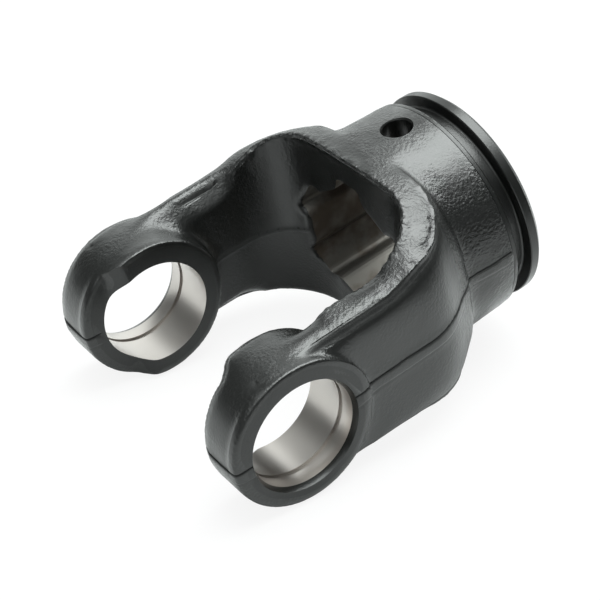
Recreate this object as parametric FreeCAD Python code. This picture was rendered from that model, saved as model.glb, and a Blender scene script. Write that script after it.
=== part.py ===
import FreeCAD, Part
import math
import os

# Forged end yoke of a cardan joint, one drop forging with machined bores.
# The origin is the joint centre, where the shaft axis meets the axis of the cross bores.
# +X runs along the shaft axis towards the hub's flange, +Y towards one ear.
# +Z is square to both and points out of the pin hole; z = 0 is the forging's parting plane.
# All sizes are in millimetres.

# Cross bores, one in each ear
bore_radius = 18.0
bore_lip_radius = 18.95
bore_lip_depth = 2.0
ring_groove_radius = 18.95
ring_groove_width = 1.85
ring_groove_spacing = 89.0

# Ears
ear_radius = 25.4
ear_inner_y = 29.7
ear_outer_y = 53.3
ear_edge_rounding = 4.0
ear_rim_flats = 3
ear_relief_depth = 4.3
ear_relief_start = 7.2
ear_relief_slope_length = 4.7

# Arms and the throat between them
arm_outer_y = 51.3
arm_half_height = 26.2
arm_squareness = 12.0
throat_half_width = 36.5
throat_bottom_x = 59.0
throat_corner_radius = 19.0
throat_draft = 6.0
throat_rim_bevel = 2.4

# Shoulders, where the arms grow together and into the hub
shoulder_squareness = 3.45
shoulder_width_start = 54.0
shoulder_width_end = 78.0
shoulder_height_start = 40.0
shoulder_height_end = 62.0
neck_start = 67.0
neck_end = 84.0

# Control points of the smooth outer skin
points_around = 60
points_along = 8

# Hub
hub_radius = 38.3
hub_end_x = 93.4
collar_radius = 38.0
collar_end_x = 95.4
shield_groove_radius = 33.4
shield_groove_end_x = 101.4
flange_radius = 37.5
flange_end_x = 105.8
flange_chamfer = 1.4
collar_edge_chamfer = 0.5

# Star socket for the profile tube
socket_lobes = 6
socket_lobe_height = 29.0
socket_lobe_width = 11.6
socket_ridge_height = 24.3
socket_ridge_width = 12.4
socket_corner_radius = 1.8

# Pin hole through the hub
pin_hole_radius = 5.0
pin_hole_x = 84.4

# Trimmed flash left along the parting plane
flash_half_width = 1.9
flash_height = 0.45

# Gap below which two faces count as touching when the ears are joined on
fuse_tolerance = 0.001

X_AXIS = FreeCAD.Vector(1, 0, 0)
Y_AXIS = FreeCAD.Vector(0, 1, 0)
Z_AXIS = FreeCAD.Vector(0, 0, 1)


def smooth_step(value, start, end):
    """Rise from 0 at start to 1 at end with level ends."""
    t = min(max((value - start) / (end - start), 0.0), 1.0)
    return t * t * (3.0 - 2.0 * t)


def body_half_width(x):
    step = smooth_step(x, shoulder_width_start, shoulder_width_end)
    return arm_outer_y + (hub_radius - arm_outer_y) * step


def body_half_height(x):
    step = smooth_step(x, shoulder_height_start, shoulder_height_end)
    return arm_half_height + (hub_radius - arm_half_height) * step


def body_squareness(x):
    """Exponent of the section: 2 is an ellipse, more is squarer."""
    arm = 2.0 / arm_squareness
    shoulder = 2.0 / shoulder_squareness
    roundness = arm + (shoulder - arm) * smooth_step(x, shoulder_height_start, shoulder_height_end)
    roundness += (1.0 - shoulder) * smooth_step(x, neck_start, neck_end)
    return 2.0 / roundness


def body_section(x, grow):
    """Control points around the outer body, grown all round, in the plane at x."""
    half_width = body_half_width(x) + grow
    half_height = body_half_height(x) + grow
    power = body_squareness(x)
    points = []
    for index in range(points_around):
        angle = 2.0 * math.pi * index / points_around
        across = math.cos(angle)
        up = math.sin(angle)
        reach = (abs(across) ** power + abs(up) ** power) ** (-1.0 / power)
        points.append(FreeCAD.Vector(x, half_width * reach * across, half_height * reach * up))
    return points


def outer_body(grow=0.0):
    """Arms, shoulders and hub as one smooth skin along the shaft axis, closed at both ends."""
    stations = [0.0, 0.5 * shoulder_height_start]
    spacing = (hub_end_x - shoulder_height_start) / points_along
    stations += [shoulder_height_start + spacing * index for index in range(points_along + 1)]
    inner_knots = len(stations) - 4
    skin = Part.BSplineSurface()
    skin.buildFromPolesMultsKnots(
        [body_section(x, grow) for x in stations],
        [4] + [1] * inner_knots + [4],
        [1] * (points_around + 1),
        [float(index) for index in range(inner_knots + 2)],
        [float(index) for index in range(points_around + 1)],
        False,
        True,
        3,
        3,
    )
    side = skin.toShape()
    ends = []
    for x in (0.0, hub_end_x):
        rim = [e for e in side.Edges if abs(e.CenterOfMass.x - x) < 0.01]
        ends.append(Part.Face(Part.Wire(rim)))
    closed = Part.makeCompound([side] + ends)
    closed.sewShape()
    solid = Part.makeSolid(closed.Shells[0])
    if solid.Volume < 0.0:
        solid.reverse()
    return solid


def throat_outline(z):
    """U outline of the throat at height z, opened by the draft away from the parting plane."""
    spread = abs(z) * math.tan(math.radians(throat_draft))
    half = throat_half_width + spread
    bottom = throat_bottom_x + spread
    open_x = -2.0 * ear_radius
    r = throat_corner_radius
    bend = r * math.sqrt(0.5)
    corner_x = bottom - r
    corner_y = half - r
    low_arc = Part.Arc(
        FreeCAD.Vector(corner_x, -half, z),
        FreeCAD.Vector(corner_x + bend, -corner_y - bend, z),
        FreeCAD.Vector(bottom, -corner_y, z),
    )
    high_arc = Part.Arc(
        FreeCAD.Vector(bottom, corner_y, z),
        FreeCAD.Vector(corner_x + bend, corner_y + bend, z),
        FreeCAD.Vector(corner_x, half, z),
    )
    edges = [
        Part.makeLine((open_x, -half, z), (corner_x, -half, z)),
        low_arc.toShape(),
        Part.makeLine((bottom, -corner_y, z), (bottom, corner_y, z)),
        high_arc.toShape(),
        Part.makeLine((corner_x, half, z), (open_x, half, z)),
        Part.makeLine((open_x, half, z), (open_x, -half, z)),
    ]
    return Part.Wire(edges)


def throat():
    reach = 1.5 * hub_radius
    upper = Part.makeLoft([throat_outline(0.0), throat_outline(reach)], True, True)
    lower = Part.makeLoft([throat_outline(-reach), throat_outline(0.0)], True, True)
    return upper.fuse(lower)


def bevel_throat_rims(body):
    """Bevel the long edges above and below where the throat breaks through the skin."""
    rims = []
    for edge in body.Edges:
        point = middle(edge)
        spread = abs(point.z) * math.tan(math.radians(throat_draft))
        corner_x = throat_bottom_x + spread - throat_corner_radius
        corner_y = throat_half_width + spread - throat_corner_radius
        along = max(point.x - corner_x, 0.0)
        across = max(abs(point.y) - corner_y, 0.0)
        on_wall = abs(math.hypot(along, across) - throat_corner_radius) < 0.05
        if on_wall and abs(point.z) > 0.5 * arm_half_height and abs(point.x) > 0.01:
            rims.append(edge)
    return body.makeChamfer(throat_rim_bevel, rims)


def ear_relief():
    """Step milled across the inner face of the ear at +Y, from beside its bore to the tip."""
    slope_end = ear_relief_start + ear_relief_slope_length
    step_y = ear_inner_y + ear_relief_depth
    points = [
        (-ear_relief_start, ear_inner_y),
        (-slope_end, step_y),
        (-2.0 * ear_radius, step_y),
        (-2.0 * ear_radius, 0.0),
        (-ear_relief_start, 0.0),
        (-ear_relief_start, ear_inner_y),
    ]
    outline = Part.makePolygon([FreeCAD.Vector(x, y, -2.0 * ear_radius) for x, y in points])
    return Part.Face(outline).extrude(Z_AXIS * 4.0 * ear_radius)


def middle(edge):
    """Point halfway along an edge."""
    return edge.valueAt(0.5 * (edge.FirstParameter + edge.LastParameter))


def ear_boss():
    """Ear turned about the bore axis, its outer rim rounded in a few flats."""
    points = [(0.0, ear_inner_y), (ear_radius, ear_inner_y)]
    for step in range(ear_rim_flats + 1):
        angle = 0.5 * math.pi * step / ear_rim_flats
        inset = ear_edge_rounding * (1.0 - math.cos(angle))
        drop = ear_edge_rounding * (1.0 - math.sin(angle))
        points.append((ear_radius - inset, ear_outer_y - drop))
    points += [(0.0, ear_outer_y), (0.0, ear_inner_y)]
    outline = Part.makePolygon([FreeCAD.Vector(r, y, 0) for r, y in points])
    return Part.Face(outline).revolve(FreeCAD.Vector(), Y_AXIS, 360)


def ear():
    """The ear at +Y before its bore is cut."""
    boss = ear_boss().cut(ear_relief())
    rims = []
    for edge in boss.Edges:
        point = middle(edge)
        on_side = abs(math.hypot(point.x, point.z) - ear_radius) < 0.01
        inner = point.y < 0.5 * (ear_inner_y + ear_outer_y)
        if on_side and inner and abs(edge.tangentAt(edge.FirstParameter).y) < 0.99:
            rims.append(edge)
    boss = boss.makeFillet(ear_edge_rounding, rims)
    flash_start = Y_AXIS * (ear_inner_y + ear_relief_depth + ear_edge_rounding)
    flash_length = ear_outer_y - ear_edge_rounding - flash_start.y
    flash = Part.makeCylinder(ear_radius + flash_height, flash_length, flash_start, Y_AXIS)
    return boss.fuse(flash.common(flash_slab()))


def flash_slab():
    """Thin slab about the parting plane that holds the trimmed flash."""
    size = 4.0 * arm_outer_y
    corner = FreeCAD.Vector(-0.5 * size, -0.5 * size, -flash_half_width)
    return Part.makeBox(size, size, 2.0 * flash_half_width, corner)


def turned_end():
    """Collar, shield groove and flange, turned about the shaft axis."""
    c = collar_edge_chamfer
    points = [
        (pin_hole_x, 0.0),
        (pin_hole_x, collar_radius),
        (collar_end_x - c, collar_radius),
        (collar_end_x, collar_radius - c),
        (collar_end_x, shield_groove_radius),
        (shield_groove_end_x, shield_groove_radius),
        (shield_groove_end_x, flange_radius),
        (flange_end_x - flange_chamfer, flange_radius),
        (flange_end_x, flange_radius - flange_chamfer),
        (flange_end_x, 0.0),
        (pin_hole_x, 0.0),
    ]
    outline = Part.makePolygon([FreeCAD.Vector(x, r, 0) for x, r in points])
    return Part.Face(outline).revolve(FreeCAD.Vector(), X_AXIS, 360)


def star_socket():
    """Lobed prism that the profile tube fills: flat ridges and flat-topped lobes in turn."""
    start_x = throat_bottom_x - socket_lobe_height
    corners = []
    for index in range(2 * socket_lobes):
        angle = math.pi * index / socket_lobes
        on_lobe = index % 2 == 1
        height = socket_lobe_height if on_lobe else socket_ridge_height
        half = 0.5 * (socket_lobe_width if on_lobe else socket_ridge_width)
        for side in (-half, half):
            y = height * math.cos(angle) - side * math.sin(angle)
            z = height * math.sin(angle) + side * math.cos(angle)
            corners.append(FreeCAD.Vector(start_x, y, z))
    corners.append(corners[0])
    prism = Part.Face(Part.makePolygon(corners)).extrude(X_AXIS * (2.0 * flange_end_x - start_x))
    long_edges = [e for e in prism.Edges if abs(e.tangentAt(e.FirstParameter).x) > 0.99]
    return prism.makeFillet(socket_corner_radius, long_edges)


def cross_bore():
    """Bore through both ears, with its snap-ring grooves and outer lips."""
    through = 4.0 * ear_outer_y
    bore = Part.makeCylinder(bore_radius, through, FreeCAD.Vector(0, -0.5 * through, 0), Y_AXIS)
    for side in (-1, 1):
        outward = Y_AXIS * side
        groove = Part.makeCylinder(
            ring_groove_radius, ring_groove_width, outward * 0.5 * ring_groove_spacing, outward
        )
        lip = Part.makeCone(
            bore_radius,
            bore_lip_radius,
            bore_lip_depth,
            outward * (ear_outer_y - bore_lip_depth),
            outward,
        )
        mouth = Part.makeCylinder(bore_lip_radius, ear_outer_y, outward * ear_outer_y, outward)
        bore = bore.fuse([groove, lip, mouth])
    return bore


def yoke():
    body = outer_body()
    body = body.fuse(outer_body(flash_height).common(flash_slab()))
    body = body.fuse(turned_end())
    body = bevel_throat_rims(body.cut(throat()))
    far_ear = ear()
    near_ear = far_ear.mirror(FreeCAD.Vector(), Y_AXIS)
    body = body.fuse([near_ear, far_ear], fuse_tolerance)
    body = body.cut(star_socket())
    body = body.cut(cross_bore())
    pin_start = FreeCAD.Vector(pin_hole_x, 0, -2.0 * hub_radius)
    pin = Part.makeCylinder(pin_hole_radius, 4.0 * hub_radius, pin_start, Z_AXIS)
    return body.cut(pin)


os.makedirs("parts", exist_ok=True)
shape = yoke()
print("solids", len(shape.Solids), "valid", shape.isValid(), "volume", round(shape.Volume / 1000.0, 1), "cm3")
shape.exportStep("parts/yoke.step")
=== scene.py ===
import math
import bmesh
import bpy
import numpy as np
from mathutils import Matrix, Vector, noise


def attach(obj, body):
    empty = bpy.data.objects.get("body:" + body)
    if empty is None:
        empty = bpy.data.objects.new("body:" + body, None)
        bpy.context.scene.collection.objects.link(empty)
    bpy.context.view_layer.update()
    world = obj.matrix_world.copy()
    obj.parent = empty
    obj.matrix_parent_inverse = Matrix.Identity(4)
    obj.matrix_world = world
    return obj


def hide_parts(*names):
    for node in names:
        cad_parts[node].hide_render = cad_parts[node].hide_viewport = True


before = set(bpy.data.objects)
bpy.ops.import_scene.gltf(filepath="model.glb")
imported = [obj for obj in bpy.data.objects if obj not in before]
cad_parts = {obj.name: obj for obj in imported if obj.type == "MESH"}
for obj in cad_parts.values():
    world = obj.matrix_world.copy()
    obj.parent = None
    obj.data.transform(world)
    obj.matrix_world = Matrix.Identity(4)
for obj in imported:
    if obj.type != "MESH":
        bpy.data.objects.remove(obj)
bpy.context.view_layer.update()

# Lengths are in millimetres and become metres where a mesh is written. X runs along the shaft to
# the hub, Z is up when the part lies, and the near ear is at minus Y, the far one at plus Y.
MM = 0.001

# Ears: cross bore, wider lip at its mouth, snap-ring groove, faces, and relief beside the bore
BORE_R = 18.0
LIP_R = 18.95
LIP_DEPTH = 2.0
RING_R = 18.95
RING_Y = 44.5
RING_W = 1.85
EAR_R = 25.4
EAR_IN_Y = 29.7
EAR_MID_Y = 42.0
EAR_OUT_Y = 53.3
RELIEF_Y = 34.0
RELIEF_START = -7.2
RELIEF_END = -11.9

# Hub: cross hole, collar, groove and flange, and the star socket's lobes and ridges
PIN_R = 5.0
PIN_X = 84.4
COLLAR_X = 93.4
COLLAR_END = 95.4
COLLAR_R = 38.0
GROOVE_R = 33.4
GROOVE_END = 101.4
FLANGE_R = 37.5
END_X = 105.8
LOBES = 6
LOBE_H = 29.0
LOBE_W = 11.6
RIDGE_H = 24.3
RIDGE_W = 12.4

# Outer skin: arms, shoulders and hub, and the stretches of x in which it rises, narrows and rounds
ARM_Y = 51.3
ARM_Z = 26.2
HUB_R = 38.3
RISING = (40.0, 62.0)
NARROWING = (54.0, 78.0)
ROUNDING = (67.0, 84.0)
ARM_POWER = 12.0
SHOULDER_POWER = 3.45
SKIN_END = 93.0

# Throat, with the bevel of its rims and the steep facet inside the rims beside the ears
THROAT_HALF = 36.5
THROAT_END = 59.0
THROAT_R = 19.0
DRAFT = math.tan(math.radians(6.0))
BEVEL = 2.4
RIM_Z = 10.0
FACET_WIDE = 6.0
FACET_HIGH = 7.5

# Outer edge of the horseshoe round the throat, and the valley beside the hub, for y and z positive
ARM_EDGE = [
    (-6, 48.8, 25.2),
    (40, 48.8, 25.2),
    (47, 48.3, 26.6),
    (52, 47.3, 27.6),
    (58, 45.4, 27.9),
    (62.4, 42.0, 28.2),
    (66.2, 38.2, 29.4),
    (69.5, 33.6, 31.4),
    (71.3, 28.2, 33.8),
    (72.0, 22.4, 35.8),
    (72.5, 15.6, 37.4),
]
VALLEY = [
    (73.2, 11, 37.7),
    (74.2, 17, 36.5),
    (75.2, 22, 34.4),
    (76.0, 27, 31),
    (76.4, 32, 25.5),
    (76.4, 37, 18),
    (76.2, 40, 8),
    (76, 41.5, 0),
]

# The lying part touches the floor with the ears and, at this x, with the crown of the shoulders
CROWN_X = 62.0
TILT = math.atan2(HUB_R - EAR_R, CROWN_X)

# How far the tools that cut the ears reach out, past the part, and how much fills its end face
BEYOND = 80.0
END_COVER = 1.0


def link(obj):
    bpy.context.scene.collection.objects.link(obj)
    return obj


def new_object(name, verts, faces):
    mesh = bpy.data.meshes.new(name)
    mesh.from_pydata([(x * MM, y * MM, z * MM) for x, y, z in verts], [], faces)
    mesh.validate()
    return link(bpy.data.objects.new(name, mesh))


def new_solid(name, verts, faces):
    """Closed solid with its faces turned outwards."""
    obj = new_object(name, verts, faces)
    bm = bmesh.new()
    bm.from_mesh(obj.data)
    bmesh.ops.recalc_face_normals(bm, faces=bm.faces)
    bm.to_mesh(obj.data)
    bm.free()
    return obj


def arc(center, radius, start, end, steps=4):
    """Points of an arc in a plane, angles in degrees."""
    points = []
    for k in range(steps + 1):
        a = math.radians(start + (end - start) * k / steps)
        points.append((center[0] + radius * math.cos(a), center[1] + radius * math.sin(a)))
    return points


def lathe(name, profile, axis, segments=160):
    """Closed solid turned about axis 'X', 'Y' or 'Z' from (along, radius) points."""
    verts, faces = [], []
    rings = []
    for along, radius in profile:
        if radius == 0:
            rings.append([len(verts)])
            verts.append((along, 0.0, 0.0))
            continue
        rings.append(list(range(len(verts), len(verts) + segments)))
        for k in range(segments):
            a = 2.0 * math.pi * k / segments
            verts.append((along, radius * math.cos(a), radius * math.sin(a)))
    for one, two in zip(rings, rings[1:] + rings[:1]):
        if len(one) == 1 and len(two) == 1:
            continue
        for k in range(segments):
            n = (k + 1) % segments
            if len(one) == 1:
                faces.append((one[0], two[k], two[n]))
            elif len(two) == 1:
                faces.append((one[k], two[0], one[n]))
            else:
                faces.append((one[k], two[k], two[n], one[n]))
    if axis == "Y":
        verts = [(y, x, z) for x, y, z in verts]
    elif axis == "Z":
        verts = [(y, z, x) for x, y, z in verts]
    return new_solid(name, verts, faces)


def prism(name, outline, axis, low, high):
    """Straight prism along 'X' (outline in y, z) or 'Z' (outline in x, y)."""
    count = len(outline)
    place = {"X": lambda p, h: (h, p[0], p[1]), "Z": lambda p, h: (p[0], p[1], h)}[axis]
    verts = [place(p, low) for p in outline] + [place(p, high) for p in outline]
    faces = [tuple(range(count)), tuple(range(count, 2 * count))]
    faces += [(k, (k + 1) % count, count + (k + 1) % count, count + k) for k in range(count)]
    return new_solid(name, verts, faces)


def star_outline(grow, rounding):
    """Star socket outline: flat ridges and flat-topped lobes, with rounded corners."""
    corners = []
    for k in range(2 * LOBES):
        angle = math.pi * k / LOBES
        height = (LOBE_H if k % 2 else RIDGE_H) + grow
        half = 0.5 * (LOBE_W + 2.0 * grow if k % 2 else RIDGE_W - 2.0 * grow)
        outward = Vector((math.cos(angle), math.sin(angle)))
        sideways = Vector((-math.sin(angle), math.cos(angle)))
        corners += [height * outward + side * sideways for side in (-half, half)]
    most = 0.48
    steps = 4
    points = []
    for k, corner in enumerate(corners):
        before = corners[k - 1] - corner
        after = corners[(k + 1) % len(corners)] - corner
        reach = min(rounding, most * before.length, most * after.length)
        one = corner + before.normalized() * reach
        two = corner + after.normalized() * reach
        for step in range(steps + 1):
            t = step / steps
            p = one * (1 - t) ** 2 + corner * 2 * t * (1 - t) + two * t * t
            points.append((p.x, p.y))
    return points


def apply_modifiers(obj):
    """Replace the object's mesh by the result of its modifiers."""
    deps = bpy.context.evaluated_depsgraph_get()
    made = bpy.data.meshes.new_from_object(obj.evaluated_get(deps))
    obj.modifiers.clear()
    obj.data = made


def remove(*objs):
    for obj in objs:
        bpy.data.objects.remove(obj, do_unlink=True)


def join(objs, name):
    """One mesh from several, not yet united."""
    bm = bmesh.new()
    for obj in objs:
        bm.from_mesh(obj.data)
    mesh = bpy.data.meshes.new(name)
    bm.to_mesh(mesh)
    bm.free()
    remove(*objs)
    return link(bpy.data.objects.new(name, mesh))


def give(obj, mat):
    obj.data.materials.clear()
    obj.data.materials.append(mat)


def cut(obj, tool, mat):
    """Cut the tool out of the object and leave the cut faces in the given material."""
    give(tool, mat)
    mod = obj.modifiers.new("cut", "BOOLEAN")
    mod.operation = "DIFFERENCE"
    mod.solver = "MANIFOLD"
    mod.material_mode = "TRANSFER"
    mod.object = tool
    apply_modifiers(obj)
    remove(tool)


class Graph:
    """Short calls for the nodes of a material or of the world."""

    def __init__(self, owner):
        owner.use_nodes = True
        self.nodes = owner.node_tree.nodes
        self.links = owner.node_tree.links

    def new(self, kind, **inputs):
        node = self.nodes.new("ShaderNode" + kind)
        for name, value in inputs.items():
            self.feed(node.inputs[name], value)
        return node

    def feed(self, socket, value):
        """Link an output to the socket, or set the socket to a constant."""
        if isinstance(value, bpy.types.NodeSocket):
            self.links.new(value, socket)
        else:
            socket.default_value = value

    def maths(self, kind, *values):
        node = self.new("Math")
        node.operation = kind
        for socket, value in zip(node.inputs, values):
            self.feed(socket, value)
        return node.outputs["Value"]

    def vector_maths(self, kind, *values):
        node = self.new("VectorMath")
        node.operation = kind
        for socket, value in zip(node.inputs, values):
            self.feed(socket, value)
        return node.outputs["Value"]

    def ramp(self, value, low, high, to_low=0.0, to_high=1.0):
        """Smooth step from to_low to to_high while the value goes from low to high."""
        node = self.new("MapRange", Value=value)
        node.interpolation_type = "SMOOTHSTEP"
        limits = {"From Min": low, "From Max": high, "To Min": to_low, "To Max": to_high}
        for name, number in limits.items():
            node.inputs[name].default_value = number
        return node.outputs["Result"]

    def noise(self, coords, scale, detail, stretch=(1, 1, 1)):
        mapping = self.new("Mapping", Vector=coords, Scale=stretch)
        texture = self.new("TexNoise", Vector=mapping.outputs["Vector"], Scale=scale, Detail=detail)
        return texture.outputs["Fac"]

    def bump(self, height, distance, strength):
        return self.new("Bump", Height=height, Distance=distance, Strength=strength)

    def mix(self, share, one, two):
        node = self.new("MixShader", Fac=share)
        self.links.new(one, node.inputs[1])
        self.links.new(two, node.inputs[2])
        return node.outputs["Shader"]


# Materials. Places and bump distances are in metres here, and noise scales are per metre
COAT_COLOR = (0.0042, 0.0045, 0.0042, 1)
FORGED_IOR = 1.53
TURNED_IOR = 1.46
STEEL_COLOR = (0.44, 0.412, 0.39, 1)
BROACHED_COLOR = (0.155, 0.147, 0.135, 1)
STAIN_COLOR = (0.09, 0.074, 0.06, 1)


def material(name):
    mat = bpy.data.materials.new(name)
    graph = Graph(mat)
    return mat, graph, graph.nodes["Principled BSDF"]


def pebbled(graph, normal, x):
    """1 where the coat is pebbled: level faces, less so on the ears, and all round the hub."""
    facing = graph.new("SeparateXYZ", Vector=normal).outputs["Z"]
    level = graph.ramp(graph.maths("ABSOLUTE", facing), 0.5, 0.85)
    arms = graph.ramp(x, -0.01, 0.03, to_low=0.35)
    hub = graph.ramp(x, 0.064, 0.074)
    return graph.maths("MAXIMUM", graph.maths("MULTIPLY", level, arms), hub)


def forged_coat():
    """Black coat over forged skin, dull in its crevices."""
    mat, graph, shader = material("forged_coat")
    texture = graph.new("TexCoord")
    coords = texture.outputs["Object"]
    x = graph.new("SeparateXYZ", Vector=coords).outputs["X"]
    rough = pebbled(graph, texture.outputs["Normal"], x)
    crevice = graph.new("Attribute")
    crevice.attribute_name = "crevice"
    shader.inputs["Base Color"].default_value = COAT_COLOR
    shader.inputs["IOR"].default_value = FORGED_IOR
    gloss = graph.ramp(rough, 0.0, 1.0, to_low=0.30, to_high=0.25)
    graph.feed(shader.inputs["Roughness"], graph.maths("ADD", gloss, crevice.outputs["Fac"]))

    least = 0.38
    strong = graph.maths("MULTIPLY_ADD", rough, 1.0 - least, least)
    spread = graph.noise(coords, scale=80.0, detail=2.0)
    patches = graph.ramp(spread, 0.38, 0.6, to_low=0.3, to_high=1.1)
    strong = graph.maths("MULTIPLY", strong, patches)
    pebbles = graph.maths("MULTIPLY", graph.noise(coords, scale=1000.0, detail=4.0), strong)
    coarse = graph.bump(pebbles, distance=0.00055, strength=0.6)
    grains = graph.noise(coords, scale=2200.0, detail=2.0)
    fine = graph.bump(grains, distance=0.00010, strength=0.4)
    graph.feed(fine.inputs["Normal"], coarse.outputs["Normal"])
    graph.feed(shader.inputs["Normal"], fine.outputs["Normal"])
    return mat


def turned_coat():
    """Black coat over turned and milled faces."""
    mat, graph, shader = material("turned_coat")
    coords = graph.new("TexCoord").outputs["Object"]
    shader.inputs["Base Color"].default_value = COAT_COLOR
    shader.inputs["IOR"].default_value = TURNED_IOR
    shader.inputs["Roughness"].default_value = 0.28
    grains = graph.noise(coords, scale=1500.0, detail=3.0)
    bump = graph.bump(grains, distance=0.00015, strength=0.3)
    graph.feed(shader.inputs["Normal"], bump.outputs["Normal"])
    return mat


def bare_steel():
    """Bored steel with faint rings."""
    mat, graph, shader = material("bare_steel")
    coords = graph.new("TexCoord").outputs["Object"]
    shader.inputs["Base Color"].default_value = STEEL_COLOR
    shader.inputs["Metallic"].default_value = 1.0
    shader.inputs["Roughness"].default_value = 0.32
    rings = graph.noise(coords, scale=60.0, detail=3.0, stretch=(1, 40, 1))
    bump = graph.bump(rings, distance=0.00003, strength=0.3)
    graph.feed(shader.inputs["Normal"], bump.outputs["Normal"])
    return mat


def broached_steel():
    """Dull broached steel with brown stains and lines along the shaft."""
    roughness = 0.48
    more_on_stains = 0.15
    mat, graph, shader = material("broached_steel")
    coords = graph.new("TexCoord").outputs["Object"]
    stains = graph.ramp(graph.noise(coords, scale=90.0, detail=4.0), 0.40, 0.62)
    tint = graph.new("MixRGB", Fac=stains, Color1=BROACHED_COLOR, Color2=STAIN_COLOR)
    graph.feed(shader.inputs["Base Color"], tint.outputs["Color"])
    shader.inputs["Metallic"].default_value = 1.0
    dull = graph.maths("MULTIPLY_ADD", stains, more_on_stains, roughness)
    graph.feed(shader.inputs["Roughness"], dull)
    lines = graph.noise(coords, scale=500.0, detail=3.0, stretch=(0.05, 1, 1))
    bump = graph.bump(lines, distance=0.00008, strength=0.5)
    graph.feed(shader.inputs["Normal"], bump.outputs["Normal"])
    return mat


FORGED = forged_coat()
TURNED = turned_coat()
BARE = bare_steel()
BROACHED = broached_steel()


def ramp(value, start, end):
    """0 at start and 1 at end, straight between them."""
    return np.clip((value - start) / (end - start), 0.0, 1.0)


def blend(value, start, end):
    """0 at start and 1 at end, with soft ends."""
    t = ramp(value, start, end)
    return t * t * (3.0 - 2.0 * t)


def tent(value, middle, half):
    """1 in the middle, falling straight to 0 at half to either side."""
    return np.clip(1.0 - np.abs(value - middle) / half, 0.0, 1.0)


def bell(value, width):
    """1 at zero, falling softly to either side."""
    return np.exp(-((value / width) ** 2))


def read_mesh(mesh):
    """Vertex places in millimetres and unit normals."""
    places = np.empty(3 * len(mesh.vertices))
    mesh.vertices.foreach_get("co", places)
    normals = np.empty(3 * len(mesh.vertices))
    mesh.vertices.foreach_get("normal", normals)
    return places.reshape(-1, 3) / MM, normals.reshape(-1, 3)


def write_mesh(mesh, places):
    mesh.vertices.foreach_set("co", (places * MM).ravel())
    mesh.update()


def noise_at(places, scale, shift):
    """Smooth noise at each place; scale is in 1/mm, and each shift gives another pattern."""
    offset = Vector((shift, 2.3 * shift, -1.7 * shift))
    return np.array([noise.noise(Vector(p) * scale + offset) for p in places])


def fold(places):
    """The places mirrored into the quarter with y and z positive."""
    return np.column_stack((places[:, 0], np.abs(places[:, 1]), np.abs(places[:, 2])))


def skin_form(x):
    """Half width, half height and exponent of the outer skin's section."""
    rise = blend(x, *RISING)
    wide = ARM_Y + (HUB_R - ARM_Y) * blend(x, *NARROWING)
    high = ARM_Z + (HUB_R - ARM_Z) * rise
    arm = 2.0 / ARM_POWER
    shoulder = 2.0 / SHOULDER_POWER
    roundness = arm + (shoulder - arm) * rise + (1.0 - shoulder) * blend(x, *ROUNDING)
    return wide, high, 2.0 / roundness


def on_skin(line):
    """The line's points, moved square to the shaft axis on to the skin."""
    line = np.array(line, float)
    x, y, z = line.T
    wide, high, power = skin_form(x)
    ratio = (np.abs(y / wide) ** power + np.abs(z / high) ** power) ** (1.0 / power)
    line[:, 1:] /= ratio[:, None]
    return line


def distance_to_line(points, line):
    """Distance of each point from a polyline on the skin, how far along it the nearest place is
    (0 to 1), and whether the point is on the line's lower left side."""
    best = np.full(len(points), np.inf)
    along = np.zeros(len(points))
    low = np.zeros(len(points), dtype=bool)
    line = on_skin(line)
    lengths = np.linalg.norm(np.diff(line, axis=0), axis=1)
    starts = np.concatenate([[0], np.cumsum(lengths)])
    for k, step in enumerate(np.diff(line, axis=0)):
        low_side = np.array((-step[1], step[0], 0)) / math.hypot(step[0], step[1]) - (0, 0, 1)
        t = np.clip((points - line[k]) @ step / (step @ step), 0, 1)
        gap = points - line[k] - t[:, None] * step
        distance = np.linalg.norm(gap, axis=1)
        near = distance < best
        best[near] = distance[near]
        along[near] = (starts[k] + t[near] * lengths[k]) / starts[-1]
        low[near] = (gap @ low_side > 0)[near]
    return best, along, low


def rim_depths(places):
    """Depth of each point behind the throat wall and below the outer skin."""
    x, y, z = places.T
    spread = np.abs(z) * DRAFT
    ahead = np.maximum(x - (THROAT_END + spread - THROAT_R), 0.0)
    aside = np.maximum(np.abs(y) - (THROAT_HALF + spread - THROAT_R), 0.0)
    wide, high, power = skin_form(x)
    skin = high * np.clip(1.0 - np.abs(y / wide) ** power, 0.0, 1.0) ** (1.0 / power)
    return np.hypot(ahead, aside) - THROAT_R, skin - np.abs(z)


def near_rim(inward, below, z):
    """True at the throat's rims, also a little outside them."""
    slack = 0.7
    return (inward > -slack) & (below > -slack) & (np.abs(z) > RIM_Z)


def throat_wall(x, inward):
    """True on the throat's wall, away from the ears."""
    return (np.abs(inward) < 0.6) & (x > 24.0)


def facet_size(x, y):
    """Share of the steep facet inside the arms' rims, full on the far arm beside its ear."""
    far_arm = blend(x, 5.0, 15.0)
    near_arm = 0.45 * blend(x, 22.0, 42.0)
    return np.where(y > 0, far_arm, near_arm) * (1.0 - blend(x, 34.0, 51.0))


def cut_facets(mesh):
    """Cut the steep facet inside the arms' rims and slim the ears' tips."""
    deepest = 5.0
    tip_slimming = 0.5
    tip_reach = 20.0
    places, normals = read_mesh(mesh)
    x, y, z = places.T
    inward, below = rim_depths(places)
    upright = np.abs(normals[:, 2])
    lean = np.sqrt(np.clip(1.0 - upright * upright, 0.0, 1.0)) / FACET_WIDE + upright / FACET_HIGH
    depth = facet_size(x, y) - inward / FACET_WIDE - below / FACET_HIGH
    depth = np.clip(depth / np.maximum(lean, 0.1), 0.0, deepest)
    on_tip = (np.abs(normals[:, 1]) < 0.5) & (np.hypot(x, z) > tip_reach)
    push = -depth * near_rim(inward, below, z) - tip_slimming * blend(-x, 8.0, 22.0) * on_tip
    write_mesh(mesh, places + normals * push[:, None])


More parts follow.
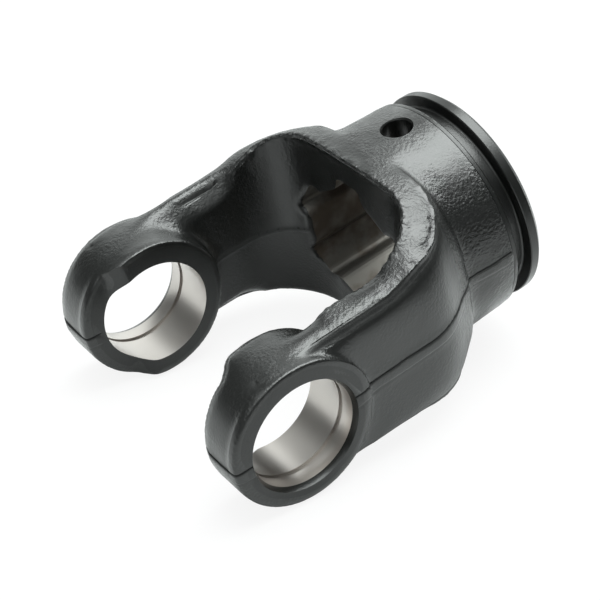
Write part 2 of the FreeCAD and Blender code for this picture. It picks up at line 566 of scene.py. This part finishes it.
def soften(mesh):
    """Round the whole skin a little, and the hollows between ears and arms much more."""
    hollow_r = 29.0
    hollow_half = 4.6
    saddle_x = 5.0
    saddle_half_x = 12.0
    saddle_half_y = 10.0
    places = read_mesh(mesh)[0]
    ends = np.empty(2 * len(mesh.edges), dtype=int)
    mesh.edges.foreach_get("vertices", ends)
    one, two = ends.reshape(-1, 2).T
    count = np.bincount(ends, minlength=len(places))[:, None]
    x, y, z = places.T
    behind_ear = tent(np.hypot(x, z), hollow_r, hollow_half) * ramp(x, -2.0, 4.0)
    behind_ear *= np.abs(y) > 26.0
    saddle = tent(x, saddle_x, saddle_half_x) * tent(np.abs(y), EAR_MID_Y, saddle_half_y)
    saddle *= np.abs(z) > 18.0
    hollow = np.clip(2.0 * np.maximum(behind_ear, saddle), 0, 1)[:, None]
    passes = 30
    whole_passes = passes // 8
    for step in range(passes):
        around = np.zeros_like(places)
        np.add.at(around, one, places[two])
        np.add.at(around, two, places[one])
        weight = 0.5 if step < whole_passes else 0.5 * hollow
        places += weight * (around / count - places)
    write_mesh(mesh, places)


def rim_push(places):
    """Sharpen the bevel round the throat unevenly, and raise a thin crease below its rim."""
    crease_high = 0.35
    crease_below = 1.9
    crease_width = 0.35
    x, y, z = places.T
    inward, below = rim_depths(places)
    near = near_rim(inward, below, z) & ((z > 0) | (x < 30.0))
    corner = np.clip(np.minimum(inward, below), 0.0, 0.5 * BEVEL)
    corner *= near * ramp(np.maximum(inward, below), 4.0, 2.0)
    ragged = 0.85 + 0.25 * noise_at(places, scale=0.5, shift=11.0)
    sharp = ragged * math.sqrt(2.0) * corner * blend(x, 14.0, 26.0) * (1.0 - facet_size(x, y))
    on_wall = (np.abs(inward) < 0.8) * (np.abs(z) > RIM_Z) * blend(x, 42.0, 52.0)
    return sharp + crease_high * bell(below - crease_below, crease_width) * on_wall


def ear_push(places):
    """Sharpen each ear's upper rim on its minus Y side and slim the one on its plus Y side."""
    rim_width = 1.17
    slimming = 0.9
    slim_length = 13.0
    x, y, z = places.T
    inner_face = EAR_IN_Y + (RELIEF_Y - EAR_IN_Y) * ramp(x, RELIEF_START, RELIEF_END)
    edge = EAR_R - np.hypot(x, z)
    face = np.minimum(np.abs(y) - inner_face, EAR_OUT_Y - np.abs(y))
    near_side = np.where(y > 0, y < EAR_MID_Y, y < -EAR_MID_Y)
    crisp = (0.2 + 0.5 * blend(z, -8.0, 12.0)) * near_side * ramp(np.maximum(edge, face), 5.0, 3.0)
    plus_side = np.where(y > 0, EAR_OUT_Y - y, -y - inner_face)
    slim = slimming * ramp(plus_side, slim_length, 0.0) ** 2
    slim *= ramp(edge, 2.0, 1.0) * (edge > -2.0)
    slim *= blend(z, -3.0, 8.0) * (1.0 - blend(x, -2.0, 8.0))
    return crisp * math.sqrt(2.0) * np.clip(np.minimum(edge, face), 0.0, rim_width) - slim


def outside(places, normals):
    """True on the outer sides of arms, ears and hub, not in the throat."""
    least_outward = 0.3
    ear_tips_x = -6.0
    outward = normals[:, 1] * np.sign(places[:, 1])
    return (outward > least_outward) | (places[:, 0] < ear_tips_x)


def refine(mesh):
    """Finer faces where the forging has thin lines."""
    seam_half = 3.0
    seam_end = 95.0
    wall_seam_half = 1.2
    rim_inward = 2.6
    rim_below = 2.8
    arm_edge_half = 2.5
    sharpened = 0.3
    places, normals = read_mesh(mesh)
    x, y, z = places.T
    inward, below = rim_depths(places)
    seam = (np.abs(z) < seam_half) & outside(places, normals) & (x < seam_end)
    wall_seam = (np.abs(z) < wall_seam_half) & throat_wall(x, inward)
    rim = (np.abs(inward) < rim_inward) & (np.abs(below) < rim_below) & (z > 0)
    arm_edge = (distance_to_line(fold(places), ARM_EDGE)[0] < arm_edge_half) & (z > 0)
    fine = seam | wall_seam | rim | arm_edge | (ear_push(places) > sharpened)
    bm = bmesh.new()
    bm.from_mesh(mesh)
    edges = [e for e in bm.edges if fine[e.verts[0].index] and fine[e.verts[1].index]]
    bmesh.ops.subdivide_edges(bm, edges=edges, cuts=2, use_grid_fill=True, smooth=0.0)
    bm.to_mesh(mesh)
    bm.free()


def skin_relief(places, normals):
    """Unevenness of the whole skin, more of it on the hub and on the level faces at the throat."""
    x = places[:, 0]
    hub = ramp(x, 64.0, 72.0) * (x < SKIN_END)
    level = ramp(np.abs(normals[:, 2]), 0.55, 0.80) * ramp(x, 30.0, 50.0)
    waves = 0.05 * noise_at(places, scale=0.10, shift=1.0)
    grain = 0.01 + 0.03 * np.maximum(hub, level)
    return waves + grain * noise_at(places, scale=0.55, shift=5.0)


def arm_edge_relief(places):
    """Raised outer edge of the horseshoe with its bead, and the dark line below it."""
    ridge_width = 1.3
    slope_length = 8.0
    bead_width = 0.65
    undercut_deep = 0.25
    undercut_below = 2.6
    undercut_width = 1.0
    darkness = 0.8
    dark_below = 1.7
    dark_width = 0.7
    x, y, z = places.T
    gap, along, low = distance_to_line(fold(places), ARM_EDGE)
    strong = (1.0 + 0.25 * noise_at(places, scale=0.35, shift=9.0)) * ramp(along, 1.0, 0.8)
    strong *= np.where(z > 0, 1.0, 0.35)
    started = strong * blend(x, 4.0, 18.0)
    arm_rise = np.where(y > 0, 0.2, 0.8)
    shoulder_rise = np.where(y > 0, 0.8, 1.4)
    rise = started * (arm_rise + (shoulder_rise - arm_rise) * ramp(x, 42.0, 50.0))
    bead = started * np.where(y > 0, 0.15, 0.5)
    push = rise * np.where(low, bell(gap, ridge_width), ramp(gap, slope_length, 0.0))
    push += bead * bell(gap, bead_width)
    push -= undercut_deep * low * strong * bell(gap - undercut_below, undercut_width)
    return push, darkness * low * started * bell(gap - dark_below, dark_width)


def valley_relief(places):
    """Valley between the horseshoe and the hub, steep on the horseshoe's side."""
    depth = 1.6
    steep_width = 2.4
    gap, along, low = distance_to_line(fold(places), VALLEY)
    width = np.where(low, steep_width, 5.0 + 2.0 * along)
    return -depth * ramp(along, 0.0, 1.0 / 6.0) * bell(gap, width)


def seam_relief(places, normals):
    """Wavering double groove of the parting line outside, a fine ridge on the throat's wall,
    and how dark they are."""
    groove_width = 0.35
    second_depth = 0.14
    second_width = 0.3
    ridge_high = 0.25
    ridge_width = 0.45
    x, y, z = places.T
    level = places * (1, 1, 0)
    outer = outside(places, normals) & (x < SKIN_END)
    height = 1.9 + 0.30 * noise_at(level, scale=0.09, shift=3.0)
    height += 0.12 * noise_at(level, scale=0.6, shift=4.0)
    depth = 0.45 + 0.2 * noise_at(level, scale=0.2, shift=6.0)
    groove = depth * bell(z - height, groove_width)
    groove += second_depth * bell(z + 0.2 + height, second_width)
    inner = throat_wall(x, rim_depths(places)[0])
    ridge = ridge_high * bell(z, ridge_width)
    dark = np.maximum(outer * bell(z - height, 0.45), 0.8 * inner * bell(z - 0.9, 0.5))
    return inner * ridge - outer * groove, dark


def weather(mesh):
    """Push the forged skin in and out along its normals and mark its dark crevices."""
    places, normals = read_mesh(mesh)
    arm_edge, edge_dark = arm_edge_relief(places)
    seam, seam_dark = seam_relief(places, normals)
    push = skin_relief(places, normals) + arm_edge + valley_relief(places) + seam
    push += rim_push(places) + ear_push(places)
    crevice = mesh.attributes.new("crevice", "FLOAT", "POINT")
    crevice.data.foreach_set("value", np.maximum(edge_dark, seam_dark))
    write_mesh(mesh, places + normals * push[:, None])


def bore_fill(side, grow):
    """Three solids that fill an ear's bore, snap-ring groove and lip."""
    bore = [(EAR_IN_Y, 0), (EAR_IN_Y, BORE_R + grow), (EAR_OUT_Y, BORE_R + grow), (EAR_OUT_Y, 0)]
    hollows = [(RING_Y - grow, RING_Y + RING_W + grow, RING_R + grow)]
    hollows.append((EAR_OUT_Y - LIP_DEPTH - grow, EAR_OUT_Y, LIP_R + grow))
    profiles = [bore]
    for start, end, radius in hollows:
        inner = BORE_R - grow
        profiles.append([(start, inner), (start, radius), (end, radius), (end, inner)])
    return [lathe("plug", [(side * a, r) for a, r in profile], "Y") for profile in profiles]


def pin_fill(radius):
    """Solid that fills the pin hole up to the hub's round skin."""
    steps = 48
    rim = []
    for a in np.linspace(0, 2 * math.pi, steps, False):
        rim.append((PIN_X + radius * math.cos(a), radius * math.sin(a)))
    verts = [(x, y, side * math.sqrt(HUB_R * HUB_R - y * y)) for side in (-1, 1) for x, y in rim]
    verts += [(PIN_X, 0, -HUB_R), (PIN_X, 0, HUB_R)]
    bottom = 2 * steps
    top = bottom + 1
    faces = []
    for k in range(steps):
        n = (k + 1) % steps
        faces += [(k, n, steps + n, steps + k), (n, k, bottom), (steps + k, steps + n, top)]
    return new_solid("plug", verts, faces)


def end_fill():
    """Solid that fills the turned groove and covers the end face."""
    inner = 20.0
    start = 90.0
    end = END_X + END_COVER
    return lathe("plug", [(start, inner), (start, COLLAR_R), (end, COLLAR_R), (end, inner)], "X")


def forged_blank():
    """The solid without its machined features, with soft and weathered forged skin."""
    grow = 0.2
    corner_rounding = 1.4
    throat_gap = 3.0
    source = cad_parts["yoke"]
    base = link(bpy.data.objects.new("base", source.data.copy()))
    plugs = bore_fill(-1, grow) + bore_fill(1, grow)
    socket = star_outline(grow, corner_rounding)
    plugs.append(prism("plug", socket, "X", THROAT_END + throat_gap, END_X + END_COVER))
    plugs.append(pin_fill(PIN_R + grow))
    plugs.append(end_fill())
    blank = join([base] + plugs, "yoke_forging")

    mod = blank.modifiers.new("remesh", "REMESH")
    mod.mode = "VOXEL"
    mod.voxel_size = 1.0 * MM
    apply_modifiers(blank)
    for work in (cut_facets, soften, refine, weather):
        work(blank.data)
    give(blank, FORGED)
    return blank


def cut_bores(blank):
    """Painted lips at the mouths, then the bare bore with its snap-ring grooves."""
    segments = 192
    tip_y = 40.0
    tip_r = BORE_R - 4.75
    for side in (-1, 1):
        lip = [(tip_y, 0), (tip_y, tip_r), (EAR_OUT_Y - LIP_DEPTH, BORE_R)]
        lip += [(EAR_OUT_Y, LIP_R), (BEYOND, LIP_R), (BEYOND, 0)]
        cut(blank, lathe("lip", [(side * a, r) for a, r in lip], "Y", segments), TURNED)
    ring_end = RING_Y + RING_W
    ring = [(ring_end, BORE_R), (ring_end, RING_R), (RING_Y, RING_R), (RING_Y, BORE_R)]
    bore = [(-BEYOND, 0), (-BEYOND, BORE_R)] + [(-a, r) for a, r in ring]
    bore += ring[::-1] + [(BEYOND, BORE_R), (BEYOND, 0)]
    cut(blank, lathe("bores", bore, "Y", segments), BARE)


def cut_star(blank):
    """Star socket, from inside the throat to past the flange."""
    corner_rounding = 2.6
    start = 40.0
    end = 120.0
    cut(blank, prism("star", star_outline(0.0, corner_rounding), "X", start, end), BROACHED)


def cut_pin_hole(blank):
    """Cross hole through both walls of the hub, flared at its mouths."""
    reach = 60.0
    mouth = [(reach, PIN_R + 2.0), (HUB_R - 0.1, PIN_R + 0.5), (HUB_R - 0.8, PIN_R)]
    profile = [(-reach, 0)] + [(-a, r) for a, r in mouth] + mouth[::-1] + [(reach, 0)]
    pin = lathe("pin", profile, "Z", 72)
    for vert in pin.data.vertices:
        vert.co.x += PIN_X * MM
    cut(blank, pin, TURNED)


def cut_turned_end(blank):
    """Collar, guard-ring groove and chamfered flange, turned from the end."""
    fillet = 0.8
    blunt = 0.3
    collar_chamfer = 0.5
    flange_chamfer = 1.4
    clear_r = 60.0
    clear_x = END_X + 20.0
    groove_floor = GROOVE_R + fillet
    profile = [
        (COLLAR_X, clear_r),
        (COLLAR_X, COLLAR_R - blunt),
        (COLLAR_X + blunt, COLLAR_R),
        (COLLAR_END - collar_chamfer, COLLAR_R),
        (COLLAR_END, COLLAR_R - collar_chamfer),
    ]
    profile += arc((COLLAR_END + fillet, groove_floor), fillet, 180, 270)
    profile += arc((GROOVE_END - fillet, groove_floor), fillet, 270, 360)
    profile += [
        (GROOVE_END, FLANGE_R - blunt),
        (GROOVE_END + blunt, FLANGE_R),
        (END_X - flange_chamfer, FLANGE_R),
        (END_X, FLANGE_R - flange_chamfer),
        (END_X, 0),
        (clear_x, 0),
        (clear_x, clear_r),
    ]
    cut(blank, lathe("turned", profile, "X", 240), TURNED)


def cut_ear_faces(blank):
    """Milled gap between the ears, wider past the relief's slope, and the ears' outer faces."""
    shave = 0.08
    run_out = 2.0
    slope_steps = 8
    slot_start = -60.0
    slot_end = 34.0
    slot_high = 60.0
    ear_reach = 40.0
    slope_start = RELIEF_END - run_out
    slope_length = RELIEF_START - RELIEF_END + 2.0 * run_out
    half = [(slot_start, RELIEF_Y + shave)]
    for step in range(slope_steps + 1):
        t = step / slope_steps
        slope_y = RELIEF_Y + (EAR_IN_Y - RELIEF_Y) * t * t * (3.0 - 2.0 * t)
        half.append((slope_start + slope_length * t, slope_y + shave))
    half.append((slot_end, EAR_IN_Y + shave))
    slot = half + [(x, -y) for x, y in half[::-1]]
    cut(blank, prism("slot", slot, "Z", -slot_high, slot_high), TURNED)
    for side in (-1, 1):
        near = side * (EAR_OUT_Y - shave)
        far = side * BEYOND
        block = [(-ear_reach, near), (ear_reach, near), (ear_reach, far), (-ear_reach, far)]
        cut(blank, prism("face", block, "Z", -ear_reach, ear_reach), TURNED)


def yoke_piece():
    """The forging with crisp machined faces cut into its soft skin."""
    blank = forged_blank()
    for work in (cut_bores, cut_star, cut_pin_hole, cut_turned_end, cut_ear_faces):
        work(blank)
    blank.data.polygons.foreach_set("use_smooth", [True] * len(blank.data.polygons))
    blank.data.set_sharp_from_angle(angle=math.radians(32))
    return blank


def pale_floor():
    """Floor in the plane that the lying part touches, glowing for the camera, with a painted pool
    of light: its colour is pale near the part and darker far off.
    """
    size = 3000.0
    gap = 0.2
    corners = [(-size, -size, 0), (size, -size, 0), (size, size, 0), (-size, size, 0)]
    floor = new_object("floor", corners, [(0, 1, 2, 3)])
    floor.location = (0, 0, -(EAR_R / math.cos(TILT) + gap) * MM)
    floor.rotation_euler = (0, TILT, 0)
    mat, graph, shader = material("floor")
    coords = graph.new("TexCoord").outputs["Object"]
    far = graph.vector_maths("LENGTH", coords)
    near_by = 0.12
    far_off = 0.6
    glow_share = 0.88
    # Painted pool of light: the floor's colour is pale near the part and darker far off.
    painted_light_pool = graph.ramp(far, near_by, far_off, to_low=0.5, to_high=0.15)
    graph.feed(shader.inputs["Base Color"], painted_light_pool)
    shader.inputs["Roughness"].default_value = 0.9
    glow = graph.new("Emission", Color=(1, 1, 1, 1))
    bright = graph.ramp(far, near_by, far_off, to_low=1.0, to_high=1.25)
    graph.feed(glow.inputs["Strength"], bright)
    seen = graph.maths("MULTIPLY", graph.new("LightPath").outputs["Is Camera Ray"], glow_share)
    surface = graph.mix(seen, shader.outputs["BSDF"], glow.outputs["Emission"])
    graph.feed(graph.nodes["Material Output"].inputs["Surface"], surface)
    give(floor, mat)


# Light: azimuth, elevation, half width, half height in degrees, and strength of soft oval panels
PANELS = [
    (3, 58, 21, 33, 9.2),
    (-120, 80, 40, 40, 2.0),
    (48, 14, 40, 30, 1.6),
]
SKY = 0.2
LIGHT_COLOR = (0.95, 1.0, 0.985, 1)


def direction(azimuth, elevation):
    a = math.radians(azimuth)
    e = math.radians(elevation)
    return Vector((math.cos(e) * math.cos(a), math.cos(e) * math.sin(a), math.sin(e)))


def panel(graph, ray, azimuth, elevation, wide, high, strength):
    """Soft-edged oval of light in the sky."""
    dark_from = 1.7
    full_from = 0.4
    middle = direction(azimuth, elevation)
    side = Vector((0, 0, 1)).cross(middle).normalized()
    upward = middle.cross(side)
    parts = []
    for axis, size in ((side, wide), (upward, high)):
        reach = math.sin(math.radians(size))
        part = graph.maths("DIVIDE", graph.vector_maths("DOT_PRODUCT", ray, axis), reach)
        parts.append(graph.maths("MULTIPLY", part, part))
    oval = graph.ramp(graph.maths("ADD", *parts), dark_from, full_from, to_high=strength)
    front = graph.maths("GREATER_THAN", graph.vector_maths("DOT_PRODUCT", ray, middle), 0.0)
    return graph.maths("MULTIPLY", oval, front)


def studio():
    """Dim sky with soft panels, which the camera sees as plain white."""
    world = bpy.data.worlds.new("studio")
    bpy.context.scene.world = world
    graph = Graph(world)
    ray = graph.new("TexCoord").outputs["Generated"]
    total = SKY
    for values in PANELS:
        total = graph.maths("ADD", panel(graph, ray, *values), total)
    lit = graph.nodes["Background"]
    lit.inputs["Color"].default_value = LIGHT_COLOR
    graph.feed(lit.inputs["Strength"], total)
    seen = graph.new("Background", Color=(1, 1, 1, 1))
    camera_ray = graph.new("LightPath").outputs["Is Camera Ray"]
    surface = graph.mix(camera_ray, lit.outputs["Background"], seen.outputs["Background"])
    graph.feed(graph.nodes["World Output"].inputs["Surface"], surface)


def photo_camera():
    """Camera solved from the photograph."""
    camera = bpy.data.cameras.new("camera")
    camera.sensor_width = 36.0
    camera.lens = 99.8
    camera.shift_x = 0.00357
    camera.shift_y = 0.0466
    camera.clip_end = 20.0
    right = Vector((0.79273, -0.57354, -0.20646))
    up = Vector((0.51110, 0.44080, 0.73789))
    ahead = Vector((0.33220, 0.69047, -0.64257))
    place = Matrix.Translation((-0.14657, -0.37176, 0.33462))
    eye = link(bpy.data.objects.new("camera", camera))
    eye.matrix_world = place @ Matrix((right, up, -ahead)).transposed().to_4x4()
    bpy.context.scene.camera = eye


yoke = yoke_piece()
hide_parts("yoke")
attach(yoke, "root")
pale_floor()
studio()
photo_camera()
bpy.context.scene.view_settings.view_transform = "Standard"
